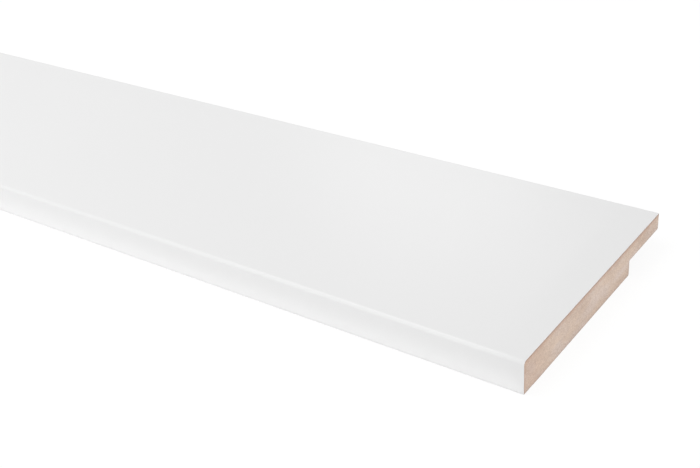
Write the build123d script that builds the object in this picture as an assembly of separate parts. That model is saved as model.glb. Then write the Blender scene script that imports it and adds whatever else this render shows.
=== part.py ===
"""Window sill board: one length of medium density fibreboard, moulded to its section and faced white.

The board lies flat, as it does before it is fitted. Its front edge, which shows in the room, faces -Y.
Under its back edge a rebate leaves a tongue, which lies over the bottom rail of the window frame.
The origin is at the middle of the board's outline seen from above, on the plane that the board rests on.
+X runs along the board and +Z is up. Sizes are in millimetres.
"""

import os

from build123d import *

# Driving sizes
LENGTH = 1220.0  # between the two sawn ends
DEPTH = 205.0  # from the front face to the back edge of the tongue
THICKNESS = 25.0  # of the whole board
REBATE_DEPTH = 50.0  # how far the rebate reaches in from the back edge
TONGUE_THICKNESS = 13.0  # what the rebate leaves of the board
NOSE_RADIUS = 3.0  # on the front edge, at the top
ARRIS_RADIUS = 0.8  # on every other outer edge that runs along the board
CUTTER_RADIUS = 0.8  # in the inner corner of the rebate

# Places that follow from them
FRONT = -DEPTH / 2
BACK = DEPTH / 2
REBATE_SHOULDER = BACK - REBATE_DEPTH
TONGUE_UNDERSIDE = THICKNESS - TONGUE_THICKNESS


def section():
    """The board's outline across its length, halfway along it, with a radius for each corner."""
    corners = [
        ((FRONT, 0), ARRIS_RADIUS),
        ((REBATE_SHOULDER, 0), ARRIS_RADIUS),
        ((REBATE_SHOULDER, TONGUE_UNDERSIDE), CUTTER_RADIUS),
        ((BACK, TONGUE_UNDERSIDE), ARRIS_RADIUS),
        ((BACK, THICKNESS), ARRIS_RADIUS),
        ((FRONT, THICKNESS), NOSE_RADIUS),
    ]
    with BuildSketch(Plane.YZ) as outline:
        with BuildLine():
            FilletPolyline(
                [place for place, radius in corners],
                radius=[radius for place, radius in corners],
                close=True,
            )
        make_face()
    return outline.sketch


def window_sill():
    """The section run along the board, and sawn square at both ends."""
    return extrude(section(), amount=LENGTH / 2, both=True)


def main():
    os.makedirs("parts", exist_ok=True)
    board = window_sill()
    export_step(board, "parts/window_sill.step")
    print(f"window_sill: {board.volume / 1e6:.4f} litres, {len(board.solids())} solid")


main()
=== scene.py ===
# %% [markdown]
# # A window sill: white on its face, bare where it was sawn
#
# The real object is one length of medium density fibreboard. A moulder ran its section along it: a rounded
# nose at the front and a rebate under the back, which leaves a tongue. A white facing was wrapped over the
# top and round the nose, and a saw then cut the length off, so its end shows the bare board.
#
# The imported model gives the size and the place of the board. Everything here is in metres in its frame:
# +X runs along the board, the front faces -Y, and the board rests on the plane where Z is 0.

import math
import random

import bmesh
import bpy
from mathutils import Matrix, Vector, geometry, noise


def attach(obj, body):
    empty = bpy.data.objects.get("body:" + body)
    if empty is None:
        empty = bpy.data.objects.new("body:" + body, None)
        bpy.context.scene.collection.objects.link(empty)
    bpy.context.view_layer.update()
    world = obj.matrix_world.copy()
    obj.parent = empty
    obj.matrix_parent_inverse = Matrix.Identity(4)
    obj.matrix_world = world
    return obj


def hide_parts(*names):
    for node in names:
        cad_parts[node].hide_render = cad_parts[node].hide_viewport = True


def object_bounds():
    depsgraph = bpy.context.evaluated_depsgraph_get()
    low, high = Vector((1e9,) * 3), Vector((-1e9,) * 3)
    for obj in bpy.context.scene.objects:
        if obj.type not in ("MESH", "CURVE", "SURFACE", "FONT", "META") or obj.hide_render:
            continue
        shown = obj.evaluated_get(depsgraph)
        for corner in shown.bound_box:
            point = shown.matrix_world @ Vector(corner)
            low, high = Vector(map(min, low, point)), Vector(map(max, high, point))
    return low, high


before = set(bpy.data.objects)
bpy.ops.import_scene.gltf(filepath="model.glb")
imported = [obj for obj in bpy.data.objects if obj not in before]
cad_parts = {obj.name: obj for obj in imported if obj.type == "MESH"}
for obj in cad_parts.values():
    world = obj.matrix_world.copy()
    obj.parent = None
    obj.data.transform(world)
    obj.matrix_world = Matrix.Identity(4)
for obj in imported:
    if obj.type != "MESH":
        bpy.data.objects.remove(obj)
cad_low, cad_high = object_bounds()
print("CAD box in mm:", [round(1000 * side, 2) for side in cad_high - cad_low])

# %% [markdown]
# ## Sizes
#
# A part is easiest to follow when each size has one name. These are the sizes that the board was moulded to.
# The facing is a film less than half a millimetre thick. It lies in the board's outline and not on top of
# it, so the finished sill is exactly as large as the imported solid.

# %% Name the sizes of the board and of its facing
MM = 0.001
LENGTH = 1220 * MM
DEPTH = 205 * MM
THICKNESS = 25 * MM
REBATE = 50 * MM  # how far it reaches in from the back edge
TONGUE = 13 * MM  # what it leaves of the thickness
NOSE = 3 * MM
ARRIS = 0.8 * MM
CUTTER = 0.8 * MM  # in the inner corner of the rebate
FACING = 0.4 * MM
RETURN = 12 * MM  # how far the facing reaches in under the front edge

FRONT = -DEPTH / 2
BACK = DEPTH / 2
SHOULDER = BACK - REBATE
TONGUE_UNDERSIDE = THICKNESS - TONGUE
HALF = LENGTH / 2

for name, made, packed in zip("XYZ", (LENGTH, DEPTH, THICKNESS), cad_high - cad_low):
    print(f"{name}: {made / MM:.1f} mm here, {packed / MM:.1f} mm packed")

# %% [markdown]
# ## Nodes written as sums
#
# Geometry Nodes and materials are both trees of small nodes. Drawn by hand they are clear, but written in
# Python they soon turn into pages of links. One small class helps: it wraps a socket, and each operator that
# is used on it adds the Math node for that step. Every other kind of node comes from one method.

# %% Make the bench that builds a tree
class Wire:
    """A socket that can stand in a Python sum."""

    def __init__(self, bench, socket):
        self.bench = bench
        self.socket = socket

    def math(self, operation, *others):
        values = dict(enumerate((self, *others)))
        return self.bench.node("ShaderNodeMath", {"operation": operation}, values)[0]

    def __add__(self, other):
        return self.math("ADD", other)

    def __sub__(self, other):
        return self.math("SUBTRACT", other)

    def __rsub__(self, other):
        return self.bench.node("ShaderNodeMath", {"operation": "SUBTRACT"}, {0: other, 1: self})[0]

    def __mul__(self, other):
        return self.math("MULTIPLY", other)

    def __pow__(self, other):
        return self.math("POWER", other)

    def __neg__(self):
        return self.math("MULTIPLY", -1.0)

    def least(self, other):
        return self.math("MINIMUM", other)

    def most(self, other):
        return self.math("MAXIMUM", other)

    def step(self, start, end):
        """0 up to start and 1 from end on, with a soft change between them."""
        spread = {"data_type": "FLOAT", "interpolation_type": "SMOOTHSTEP"}
        sockets = {"Value": self, "From Min": start, "From Max": end}
        return self.bench.node("ShaderNodeMapRange", spread, sockets)["Result"]

    __radd__ = __add__


class Bench:
    """A node tree that is built from Python."""

    def __init__(self, tree):
        self.tree = tree

    def node(self, kind, settings=None, sockets=None):
        """Adds a node. Its settings come first, because they decide which sockets it has."""
        made = self.tree.nodes.new(kind)
        for key, value in (settings or {}).items():
            if key == "items":
                while len(made.index_switch_items) < value:
                    made.index_switch_items.new()
            else:
                setattr(made, key, value)
        for key, value in (sockets or {}).items():
            socket = made.inputs[key]
            if isinstance(value, Wire):
                self.tree.links.new(value.socket, socket)
            else:
                socket.default_value = value
        return Outputs(self, made)

    def blend(self, share, low, high):
        """A mix of two colours."""
        return self.node("ShaderNodeMix", {"data_type": "RGBA"}, {0: share, 6: low, 7: high})[2]


class Outputs:
    """The outputs of a node, by name or by number."""

    def __init__(self, bench, made):
        self.bench = bench
        self.made = made

    def __getitem__(self, key):
        return Wire(self.bench, self.made.outputs[key])

# %% [markdown]
# ## Finishes
#
# There are three finishes on one board. The facing is a smooth satin white. The bare board has been cut in
# two ways: moulded and sanded along its length, which leaves it smooth, and sawn across, which leaves it
# matt and a little furry. Fibreboard is made of steamed wood fibre, blown flat and pressed, so one pattern
# in three dimensions serves all of its faces: the same clumps look round from below and flattened on the
# sawn end. It reads Object coordinates, which stay fixed to the board.

# %% Paint the white facing
def new_material(name):
    material = bpy.data.materials.new(name)
    material.use_nodes = True
    material.node_tree.nodes.clear()
    return material, Bench(material.node_tree)


def finish_material(bench, shader_sockets):
    shader = bench.node("ShaderNodeBsdfPrincipled", {}, shader_sockets)
    bench.node("ShaderNodeOutputMaterial", {}, {"Surface": shader["BSDF"]})


def clouds(bench, place, size, detail, seed):
    """Soft noise from 0 to 1, in lumps of that size. Detail adds finer noise to them."""
    settings = {"noise_dimensions": "4D"}
    sockets = {"Vector": place, "W": seed, "Scale": 1 / size, "Detail": detail}
    return bench.node("ShaderNodeTexNoise", settings, sockets)["Fac"]


def bump(bench, strength, distance, height):
    """The normals of a surface whose relief is as deep as distance."""
    sockets = {"Strength": strength, "Distance": distance, "Height": height}
    return bench.node("ShaderNodeBump", {}, sockets)["Normal"]


WHITE = (0.84, 0.84, 0.84, 1.0)
WHITE_ROUGHNESS = 0.36
RUBBED_SPREAD = 0.06  # how far handling changes the roughness
PEEL_HEIGHT = 0.01 * MM

white_satin, bench = new_material("white_satin")
place = bench.node("ShaderNodeTexCoord")["Object"]
orange_peel = clouds(bench, place, size=0.9 * MM, detail=1.0, seed=0.0)
rubbed = clouds(bench, place, size=60 * MM, detail=3.0, seed=4.0)
finish_material(
    bench,
    {
        "Base Color": WHITE,
        "Roughness": WHITE_ROUGHNESS + (rubbed - 0.5) * RUBBED_SPREAD,
        "Normal": bump(bench, 0.25, PEEL_HEIGHT, orange_peel),
    },
)
print("white_satin:", len(white_satin.node_tree.nodes), "nodes")

# %% Paint the bare fibreboard
WARM_FIBRE = (0.712, 0.573, 0.470, 1.0)
COOL_FIBRE = (0.703, 0.590, 0.523, 1.0)
DARK_FIBRE = (0.470, 0.350, 0.280, 1.0)
BARK = (0.270, 0.185, 0.130, 1.0)
FLATTENING = 2.4  # how much thinner the press made each clump
MEAN_SHADE = 0.46  # how far from pale to dark the board is, before its lumps change that
# Kind of lump: its size, its detail, its seed, and how strongly it darkens the board.
LUMPS = {
    "patches": (26 * MM, 2.0, 27.0, 1.15),
    "clumps": (3.4 * MM, 2.0, 100.1, 0.28),
    "strands": (1.1 * MM, 2.0, 174.25, 2.2),
    "hairs": (0.42 * MM, 1.0, 177.25, 0.9),
}
SPECK_SPACING = 2.2 * MM
BARK_STRENGTH = 0.5
MOULDED_ROUGHNESS = 0.62
SAWN_ROUGHNESS = 0.86
ROUGHER_WHERE_DARK = 0.10


def pressed_fibre(bench):
    """The board's colour, its place as three numbers, and how dark its clumps are, around 0."""
    place = bench.node("ShaderNodeTexCoord")["Object"]
    squeeze = {"Vector": place, "Scale": (1.0, 1.0, FLATTENING)}
    pressed = bench.node("ShaderNodeMapping", {"vector_type": "POINT"}, squeeze)["Vector"]
    parts = bench.node("ShaderNodeSeparateXYZ", {}, {0: place})
    drift = clouds(bench, pressed, size=20 * MM, detail=1.0, seed=273.5).step(0.36, 0.64)
    shade = 0.0
    for size, detail, seed, weight in LUMPS.values():
        shade = (clouds(bench, pressed, size, detail, seed) - 0.5) * weight + shade
    pale = bench.blend(drift, WARM_FIBRE, COOL_FIBRE)
    colour = bench.blend((shade + MEAN_SHADE).least(1.0).most(0.0), pale, DARK_FIBRE)
    specks = bench.node(
        "ShaderNodeTexVoronoi",
        {"voronoi_dimensions": "3D", "feature": "F1"},
        {"Vector": pressed, "Scale": 1 / SPECK_SPACING, "Randomness": 1.0},
    )
    # About one speck in twelve is bark. It is small, and fades out before it reaches its neighbours.
    lot = bench.node("ShaderNodeSeparateColor", {}, {0: specks["Color"]})
    bark = lot["Red"].step(0.90, 0.93) * (1 - specks["Distance"].step(0.10, 0.26))
    colour = bench.blend(bark * BARK_STRENGTH, colour, BARK)
    return colour, parts, shade


RIPPLE = 1.8 * MM  # from one mark of the turning cutter to the next
RIPPLE_DEPTH = 0.02 * MM

moulded_board, bench = new_material("moulded_fibreboard")
colour, parts, shade = pressed_fibre(bench)
ripple = (parts["X"] * (2 * math.pi / RIPPLE)).math("SINE")
finish_material(
    bench,
    {
        "Base Color": colour,
        "Roughness": MOULDED_ROUGHNESS + shade * ROUGHER_WHERE_DARK,
        "Normal": bump(bench, 0.4, RIPPLE_DEPTH, ripple * 0.35 - shade * 0.8),
    },
)
print("moulded_fibreboard:", len(moulded_board.node_tree.nodes), "nodes")

# %% [markdown]
# ### How the sawn ends look
#
# A circular saw crosses the board, and each tooth leaves a shallow arc. The board is pressed densest near
# its faces, so it is darkest there, and browner where the facing's glue soaked in. Much more faintly, the
# first few centimetres behind the nose are browner too. The very edge of the cut is bruised by the cutter
# and by handling. The distance from a point to the section's outline is the least of its distances to the
# straight sides.

# %% Paint the sawn ends
BLADE = 150 * MM  # the saw's radius
SPINDLE_BELOW = 50 * MM
FEED = 2.3 * MM  # between one tooth mark and the next
TEAR_DEPTH = 0.12 * MM
THINNER_AT_FRONT = 1.7  # the dark layer behind the front, against the one under the top
SOAKED_FIBRE = (0.505, 0.290, 0.185, 1.0)
BRUISED_FIBRE = (0.300, 0.225, 0.200, 1.0)

sawn_board, bench = new_material("sawn_fibreboard")
colour, parts, shade = pressed_fibre(bench)
y, z = parts["Y"], parts["Z"]

from_notch = (SHOULDER - y).most(z - TONGUE_UNDERSIDE)
edge = z.least(THICKNESS - z).least(y - FRONT).least(BACK - y).least(from_notch)

faced = (THICKNESS - z).least((y - FRONT) * THINNER_AT_FRONT)
# Each band: what it is measured from, where it starts to fade, where it has gone, its strength, its colour.
BANDS = (
    (y - FRONT, 10 * MM, 42 * MM, 0.14, SOAKED_FIBRE),
    (faced, 0.5 * MM, 5.5 * MM, 0.46, SOAKED_FIBRE),
    (faced, 0.8 * MM, 2.4 * MM, 0.50, BRUISED_FIBRE),
    (edge, 0.3 * MM, 1.2 * MM, 0.30, BRUISED_FIBRE),
)
for distance, fading, gone, strength, tint in BANDS:
    colour = bench.blend((1 - distance.step(fading, gone)) * strength, colour, tint)

arc = (BLADE * BLADE - (z + SPINDLE_BELOW) * (z + SPINDLE_BELOW)) ** 0.5
tooth = ((y - arc) * (2 * math.pi / FEED)).math("SINE")
finish_material(
    bench,
    {
        "Base Color": colour,
        "Roughness": SAWN_ROUGHNESS + shade * ROUGHER_WHERE_DARK,
        "Normal": bump(bench, 0.6, TEAR_DEPTH, tooth * 0.16 - shade),
    },
)
print("sawn_fibreboard:", len(sawn_board.node_tree.nodes), "nodes")

# %% [markdown]
# ## The board and its facing
#
# Both follow one rule: a closed section runs straight along X. Geometry Nodes can say that rule. The corners
# are points, each at a place worked out from the named sizes. Fillet Curve rounds each corner by its own
# radius, and Curve to Mesh runs the section along a line. A corner of radius 0 stays sharp.

# %% Write the tree that runs a section along the board
SIZES = {
    "Length": LENGTH,
    "Depth": DEPTH,
    "Thickness": THICKNESS,
    "Rebate": REBATE,
    "Tongue": TONGUE,
    "Nose Radius": NOSE,
    "Arris Radius": ARRIS,
    "Cutter Radius": CUTTER,
    "Facing": FACING,
    "Return": RETURN,
}
ARC_STEPS = 10
STRETCHES = 40  # lengths that the straight run is divided into
AROUND = "around"  # how far a point lies round the section from its first corner


def switch(bench, kind, choices):
    """One of the choices for each point, by its index."""
    settings = {"data_type": kind, "items": len(choices)}
    sockets = {str(number): choice for number, choice in enumerate(choices)}
    index = bench.node("GeometryNodeInputIndex")[0]
    return bench.node("GeometryNodeIndexSwitch", settings, {"Index": index, **sockets})[0]


def section_tree(name, corners_from):
    """A tree that runs a closed section along X. corners_from gives (y, z, radius) for each corner."""
    tree = bpy.data.node_groups.new(name, "GeometryNodeTree")
    tree.interface.new_socket("Geometry", in_out="OUTPUT", socket_type="NodeSocketGeometry")
    for size, value in SIZES.items():
        socket = tree.interface.new_socket(size, in_out="INPUT", socket_type="NodeSocketFloat")
        socket.subtype = "DISTANCE"
        socket.default_value = value
    tree.interface.new_socket("Material", in_out="INPUT", socket_type="NodeSocketMaterial")
    bench = Bench(tree)
    given = bench.node("NodeGroupInput")
    corners = corners_from(given)

    places = []
    for y, z, radius in corners:
        # Curve to Mesh turns a section that runs along +X by half a turn, which the minus signs undo.
        places.append(bench.node("ShaderNodeCombineXYZ", {}, {"X": -y, "Y": -z})[0])
    sockets = {"Count": len(corners), "Position": switch(bench, "VECTOR", places)}
    points = bench.node("GeometryNodePoints", {}, sockets)[0]
    outline = bench.node("GeometryNodePointsToCurves", {}, {0: points})[0]
    outline = bench.node("GeometryNodeSetSplineCyclic", {}, {"Geometry": outline, "Cyclic": True})[0]
    radius = switch(bench, "FLOAT", [radius for y, z, radius in corners])
    sockets = {"Curve": outline, "Count": ARC_STEPS, "Radius": radius}
    section = bench.node("GeometryNodeFilletCurve", {"mode": "POLY"}, sockets)[0]
    settings = {"data_type": "FLOAT", "domain": "POINT"}
    walked = bench.node("GeometryNodeSplineParameter")["Length"]
    sockets = {"Geometry": section, "Name": AROUND, "Value": walked}
    section = bench.node("GeometryNodeStoreNamedAttribute", settings, sockets)[0]

    half = given["Length"] * 0.5
    ends = [bench.node("ShaderNodeCombineXYZ", {}, {"X": x})[0] for x in (-half, half)]
    line = bench.node("GeometryNodeCurvePrimitiveLine", {}, {"Start": ends[0], "End": ends[1]})[0]
    line = bench.node("GeometryNodeResampleCurve", {}, {"Curve": line, "Count": STRETCHES + 1})[0]
    sockets = {"Curve": line, "Profile Curve": section, "Fill Caps": True}
    run = bench.node("GeometryNodeCurveToMesh", {}, sockets)[0]
    real = bench.node("GeometryNodeRealizeInstances", {}, {"Geometry": run})[0]
    dressed = bench.node("GeometryNodeSetMaterial", {}, {"Geometry": real, "Material": given["Material"]})
    bench.node("NodeGroupOutput", {}, {0: dressed[0]})
    return tree


def mesh_from_tree(name, tree, material):
    """Runs the tree once and keeps the plain mesh that it makes."""
    maker = bpy.data.objects.new(name, bpy.data.meshes.new(name))
    bpy.context.scene.collection.objects.link(maker)
    modifier = maker.modifiers.new(tree.name, "NODES")
    modifier.node_group = tree
    for item in tree.interface.items_tree:
        if item.in_out == "INPUT":
            modifier[item.identifier] = material if item.name == "Material" else SIZES[item.name]
    graph = bpy.context.evaluated_depsgraph_get()
    mesh = bpy.data.meshes.new_from_object(maker.evaluated_get(graph))
    maker.modifiers.clear()
    maker.data = mesh
    mesh.name = name
    return maker

# %% Say where the corners are
CUT_EDGE = 0.8  # the radius of the facing's cut along the back, in thicknesses of the facing


def board_corners(size):
    """The bare board's outline. It is cut back by the facing's thickness wherever the facing covers it."""
    front = size["Depth"] * -0.5
    back = size["Depth"] * 0.5
    skin = size["Facing"]
    shoulder = back - size["Rebate"]
    under_tongue = size["Thickness"] - size["Tongue"]
    top = size["Thickness"] - skin
    return [
        (front + skin, skin, size["Arris Radius"] - skin),
        (front + size["Return"], skin, 0.0),
        (front + size["Return"], 0.0, 0.0),
        (shoulder, 0.0, size["Arris Radius"]),
        (shoulder, under_tongue, size["Cutter Radius"]),
        (back, under_tongue, size["Arris Radius"]),
        (back, top, 0.0),
        (front + skin, top, size["Nose Radius"] - skin),
    ]


def facing_corners(size):
    """The facing, from its cut at the top of the back edge, over the top and nose, to its cut underneath."""
    front = size["Depth"] * -0.5
    back = size["Depth"] * 0.5
    skin = size["Facing"]
    top = size["Thickness"]
    return [
        (front, 0.0, size["Arris Radius"]),
        (front + size["Return"], 0.0, 0.0),
        (front + size["Return"], skin, 0.0),
        (front + skin, skin, size["Arris Radius"] - skin),
        (front + skin, top - skin, size["Nose Radius"] - skin),
        (back, top - skin, 0.0),
        (back, top, skin * CUT_EDGE),
        (front, top, size["Nose Radius"]),
    ]


fibreboard = mesh_from_tree("fibreboard", section_tree("board_section", board_corners), moulded_board)
white_facing = mesh_from_tree("white_facing", section_tree("facing_section", facing_corners), white_satin)
for piece in (fibreboard, white_facing):
    print(piece.name, len(piece.data.polygons), "faces", [round(side / MM, 2) for side in piece.dimensions])

# %% [markdown]
# ## The board's skin laid flat
#
# Whoever uses the board elsewhere gets its materials as a picture wrapped round it, so the picture needs a
# plan of the skin. The part that shows is the underside, the rebate and the tongue's back edge. It is long
# and narrow, so it is cut in two halves that lie above each other. What the facing hides gets one thin strip.
# The two ends get bands of their own, since their grain is the finest thing to see on the board.

# %% Lay out the faces along the board
# From the picture's bottom edge up, in shares of its height: where a band starts and how tall it is.
END_BANDS = {-1: (0.005, 0.130), 1: (0.140, 0.130)}
HALF_BANDS = ((0.275, 0.340), (0.620, 0.340))
HIDDEN_BAND = (0.965, 0.030)
BORDER = 0.003  # left clear at the picture's sides
NEAR = 0.01 * MM  # closer than this is the same place


def within(band, share):
    return band[0] + band[1] * share


def across(share):
    return BORDER + (1 - 2 * BORDER) * share


def lay_out_length(board):
    """Lays the faces along the board out flat, and gives the layer that holds their places."""
    layout = board.loops.layers.uv.new("OFBake")
    around = board.verts.layers.float[AROUND]
    section = [corner for corner in board.verts if corner.co.x > HALF - MM]
    section.sort(key=lambda corner: corner[around])
    whole = section[-1][around] + (section[-1].co - section[0].co).length

    def nearest(place):
        return min(section, key=lambda corner: (corner.co.yz - Vector(place)).length)[around]

    notch = nearest((FRONT + RETURN, 0.0))
    brow = nearest((BACK, THICKNESS))
    for face in board.faces:
        if abs(face.normal.x) > 0.5:
            continue
        rounds = [corner[around] for corner in face.verts]
        shows = notch < sum(rounds) / len(rounds) < brow and max(rounds) <= brow + NEAR
        half = int(face.calc_center_median().x > 0)
        for corner in face.loops:
            along, place = corner.vert.co.x, corner.vert[around]
            if shows:
                u = across((along + HALF * (1 - half)) / HALF)
                v = within(HALF_BANDS[half], (place - notch) / (brow - notch))
            else:
                behind = place - brow + (whole if place < brow - NEAR else 0.0)
                u = across((along + HALF) / LENGTH)
                v = within(HIDDEN_BAND, behind / (whole - brow + notch))
            corner[layout].uv = (u, v)
    print(f"round the board: {whole / MM:.1f} mm, of which {(brow - notch) / MM:.1f} mm show")
    return layout


fibreboard.data.materials.append(sawn_board)
board = bmesh.new()
board.from_mesh(fibreboard.data)
layout = lay_out_length(board)

# %% [markdown]
# ## The shape of the sawn ends
#
# Curve to Mesh closes each end with one large face. A saw leaves more than that: teeth tear the fibres out in
# small pits, and the arrises crumble a little. The large face is swapped for a net of small triangles
# inside the same border, and their points are pushed inwards by a fraction of a millimetre.

# %% Cut the ends into a fine net and roughen it
NET = 0.9 * MM  # between neighbouring points on a sawn end
SHIFT = 0.2 * NET  # the most that a point is moved off its place in the grid
SHIFT_SEED = 7
CLEAR = 0.6 * NET  # kept free between the border and the first points inside it
SAME_PLACE = 1e-7  # points closer than this are joined
PIT_DEPTH = 0.10 * MM
COARSE_PIT = 3.2 * MM
FINE_PIT = 1.1 * MM
FINE_OFFSET = Vector((9.0, 0.0, 0.0))  # so that the fine noise doesn't repeat the coarse one
MEAN_TEAR = 0.42
END_SEED = 17.0  # its sign is the end's, so the two ends are torn differently


def torn(point, end):
    """How far the saw has torn the end at this point, from 0 to 1."""
    flattened = Vector((END_SEED * end, point.y, 2.0 * point.z))
    # The coarse noise has 3 layers, each 2.1 times finer than the one before.
    coarse = noise.fractal(flattened / COARSE_PIT, 0.9, 2.1, 3)
    fine = noise.noise(flattened / FINE_PIT + FINE_OFFSET)
    return min(1.0, max(0.0, MEAN_TEAR + 0.45 * coarse + 0.30 * fine))


def net_points(border, spacing):
    """Points inside a border, on a grid with each one moved a little off its place."""
    low = [min(point[axis] for point in border) for axis in (0, 1)]
    high = [max(point[axis] for point in border) for axis in (0, 1)]
    dice = random.Random(SHIFT_SEED)
    found = []
    rows = int((high[1] - low[1]) / spacing)
    columns = int((high[0] - low[0]) / spacing)
    for row in range(1, rows):
        for column in range(1, columns):
            y = low[0] + (column + 0.5 * (row % 2)) * spacing + dice.uniform(-SHIFT, SHIFT)
            z = low[1] + row * spacing + dice.uniform(-SHIFT, SHIFT)
            found.append((y, z))
    return found


def large_face(board, end):
    """The face that closes one end: of those that look along X that way, it has the most corners."""
    return max(board.faces, key=lambda face: len(face.verts) * (face.normal.x * end > 0.9))


def saw_end(board, end, layout):
    """Swaps the large face at one end (-1 or 1) for a net of small ones, and tears it a little."""
    for side in list(large_face(board, end).edges):
        cuts = int(side.calc_length() / NET)
        if cuts:
            bmesh.ops.subdivide_edges(board, edges=[side], cuts=cuts)
    cap = large_face(board, end)
    rim = list(cap.verts)
    border = [(corner.co.y, corner.co.z) for corner in rim]
    inside = []
    for point in net_points(border, NET):
        nearest = min((point[0] - y) ** 2 + (point[1] - z) ** 2 for y, z in border)
        if nearest > CLEAR**2:
            inside.append(point)
    flat = [Vector(point) for point in border + inside]
    loop = [list(range(len(border)))]
    # The 1 asks for the triangles inside the border only, so none fills the rebate.
    net = geometry.delaunay_2d_cdt(flat, [], loop, 1, SAME_PLACE)
    board.faces.remove(cap)
    corners = rim + [board.verts.new((end * HALF, y, z)) for y, z in net[0][len(rim):]]
    for triangle in net[2]:
        turn = triangle if end > 0 else list(reversed(triangle))
        face = board.faces.new([corners[number] for number in turn])
        face.material_index = 1
        for corner in face.loops:
            y, z = corner.vert.co.yz
            corner[layout].uv = (across((y - FRONT) / DEPTH), within(END_BANDS[end], z / THICKNESS))
    for corner in corners:
        corner.co.x -= end * PIT_DEPTH * torn(corner.co, end)
    return len(net[2])


for end in (-1, 1):
    print("end", end, "has", saw_end(board, end, layout), "triangles")
bmesh.ops.recalc_face_normals(board, faces=board.faces)
print("the board is closed:", all(side.is_manifold for side in board.edges))
board.to_mesh(fibreboard.data)
board.free()

# %% [markdown]
# The facing's own cut edge is crisp, but no saw leaves it as sharp as a drawing. A bevel a tenth of a
# millimetre wide catches the light along it, which is the fine bright line in the photograph.

# %% Ease the cut edges of the facing
EASE = 0.1 * MM
CUT_ANGLE = math.radians(60)  # edges that turn more than this are the saw's
SMOOTH_ANGLE = math.radians(32)  # edges that turn less than this are shaded as one curve

facing = bmesh.new()
facing.from_mesh(white_facing.data)
cut_edges = [side for side in facing.edges if side.calc_face_angle(0.0) > CUT_ANGLE]
bmesh.ops.bevel(facing, geom=cut_edges, offset=EASE, segments=2, profile=0.5, affect="EDGES")
print("the facing is closed:", all(side.is_manifold for side in facing.edges))
facing.to_mesh(white_facing.data)
facing.free()

for piece in (fibreboard, white_facing):
    piece.data.attributes.remove(piece.data.attributes[AROUND])
    piece.data.shade_smooth()
    piece.data.set_sharp_from_angle(angle=SMOOTH_ANGLE)
    piece.data.update()
    print(piece.name, len(piece.data.polygons), "faces")

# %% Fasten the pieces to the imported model
for piece, slot in ((fibreboard, "bare_fibreboard"), (white_facing, "board")):
    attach(piece, "root")
    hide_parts("window_sill")

# %% [markdown]
# ## The floor and the light
#
# The photograph was taken in soft light from all round, on a ground that shows pure white. The floor is a
# pale diffuse sheet, so it throws light up at the front of the board, and rays that come straight from the
# camera, or by way of a reflection, also see a glow from it. It shows white there and still keeps the shadow.
#
# Three softboxes model the board: one high, one low at the front, and a small one low at the back, whose soft
# reflection brightens the back of the top. A low strip beside the sawn end lights little else, and a narrow
# strip lies on the ground along the front edge. It stands for the pale table that lit the front from below.

# %% Lay the floor
FLOOR_HALF = 6.0
FLOOR_DROP = 0.1 * MM  # clear of the underside, so that the two don't flicker
FLOOR_PAINT = (0.9, 0.9, 0.9, 1.0)
FLOOR_GLOW = 1.04
GLOW_SHARE = 0.88  # the rest is painted, and it shows the shadow


def seen_directly(bench):
    """1 for rays that should see a white ground: from the camera, a reflection or through glass."""
    rays = bench.node("ShaderNodeLightPath")
    return rays["Is Camera Ray"].most(rays["Is Glossy Ray"]).most(rays["Is Transmission Ray"])


white_floor, bench = new_material("white_floor")
seen = seen_directly(bench)
lit = bench.node("ShaderNodeBsdfDiffuse", {}, {"Color": FLOOR_PAINT})["BSDF"]
glow = bench.node("ShaderNodeEmission", {}, {"Strength": FLOOR_GLOW})["Emission"]
ground = bench.node("ShaderNodeMixShader", {}, {0: seen * GLOW_SHARE, 1: lit, 2: glow})
bench.node("ShaderNodeOutputMaterial", {}, {"Surface": ground[0]})

sheet = bmesh.new()
bmesh.ops.create_grid(sheet, x_segments=1, y_segments=1, size=FLOOR_HALF)
bmesh.ops.translate(sheet, verts=sheet.verts, vec=(0.0, 0.0, -FLOOR_DROP))
floor_mesh = bpy.data.meshes.new("floor")
sheet.to_mesh(floor_mesh)
sheet.free()
floor_mesh.materials.append(white_floor)
floor = bpy.data.objects.new("floor", floor_mesh)
bpy.context.scene.collection.objects.link(floor)

# %% Hang the lights
AMBIENT = 0.785
GLOW_AHEAD = 7 * MM  # from the front of the board to the middle of the strip on the ground
# name, where it hangs, what it points at, width, height, power in watts
LAMPS = (
    ("high_softbox", (-0.3, -0.4, 1.8), (0.45, -0.1, 0.0), 1.0, 1.0, 11.6),
    ("front_softbox", (-0.3, -1.8, 0.65), (0.45, -0.1, 0.0), 1.0, 0.8, 6.05),
    ("back_softbox", (-0.25, 1.2, 0.75), (0.45, 0.07, 0.025), 0.5, 0.4, 0.92),
    ("end_strip", (1.7, 0.0, 0.05), (0.6, 0.0, 0.0), 0.8, 0.08, 3.9),
    (
        "glow_strip",
        (0.0, FRONT - GLOW_AHEAD, 0.4 * MM),
        (0.0, FRONT - GLOW_AHEAD, 1.0),
        LENGTH,
        10 * MM,
        0.012,
    ),
)


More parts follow.
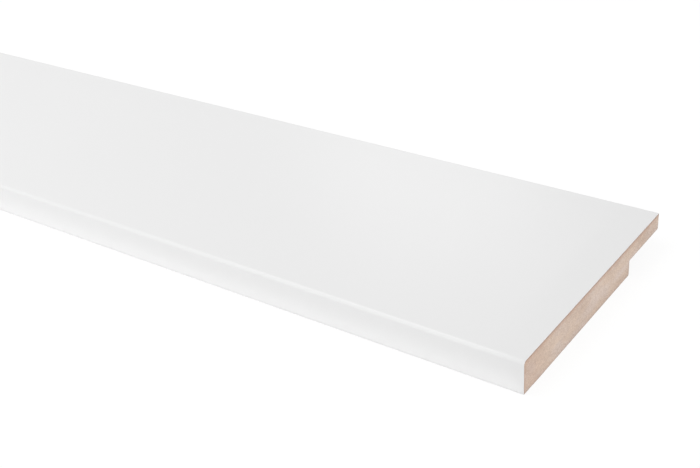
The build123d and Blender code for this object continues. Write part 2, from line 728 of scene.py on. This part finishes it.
def aim(thing, place, target):
    thing.location = place
    thing.rotation_euler = (Vector(target) - Vector(place)).to_track_quat("-Z", "Y").to_euler()


for name, place, target, width, height, power in LAMPS:
    lamp = bpy.data.lights.new(name, "AREA")
    lamp.shape = "RECTANGLE"
    lamp.size = width
    lamp.size_y = height
    lamp.energy = power
    softbox = bpy.data.objects.new(name, lamp)
    bpy.context.scene.collection.objects.link(softbox)
    softbox.visible_camera = False
    aim(softbox, place, target)

world = bpy.data.worlds.new("studio")
bpy.context.scene.world = world
world.use_nodes = True
world.node_tree.nodes.clear()
bench = Bench(world.node_tree)
seen = seen_directly(bench)
air = bench.node("ShaderNodeBackground", {}, {"Strength": AMBIENT})[0]
ground = bench.node("ShaderNodeBackground", {}, {"Color": (1.0, 1.0, 1.0, 1.0), "Strength": 1.0})[0]
both = bench.node("ShaderNodeMixShader", {}, {0: seen, 1: air, 2: ground})[0]
bench.node("ShaderNodeOutputWorld", {}, {"Surface": both})
print("lights:", [lamp[0] for lamp in LAMPS])

# %% [markdown]
# ## The camera
#
# The camera's place was worked out from the straight edges in the photograph: eight of them, each known in
# the board's own frame, fix where it stood, where it looked and how long its lens was. It stood to the right
# of the sawn end, looked down along the board towards the far end, and leaned a little to the right.

# %% Set up the camera
CAMERA_PLACE = Vector((0.866881, -0.597462, 0.440869))
CAMERA_FORWARD = Vector((-0.52596968, 0.68647224, -0.50210732))
CAMERA_RIGHT = Vector((0.81512687, 0.57536765, -0.06723283))
LENS_MM = 59.205
SENSOR_MM = 36.0

camera_data = bpy.data.cameras.new("camera")
camera_data.lens = LENS_MM
camera_data.sensor_width = SENSOR_MM
camera = bpy.data.objects.new("camera", camera_data)
bpy.context.scene.collection.objects.link(camera)
camera_up = CAMERA_RIGHT.cross(CAMERA_FORWARD)
turn = Matrix((CAMERA_RIGHT, camera_up, -CAMERA_FORWARD)).transposed().to_4x4()
camera.matrix_world = Matrix.Translation(CAMERA_PLACE) @ turn
bpy.context.scene.camera = camera
bpy.context.scene.view_settings.view_transform = "Standard"
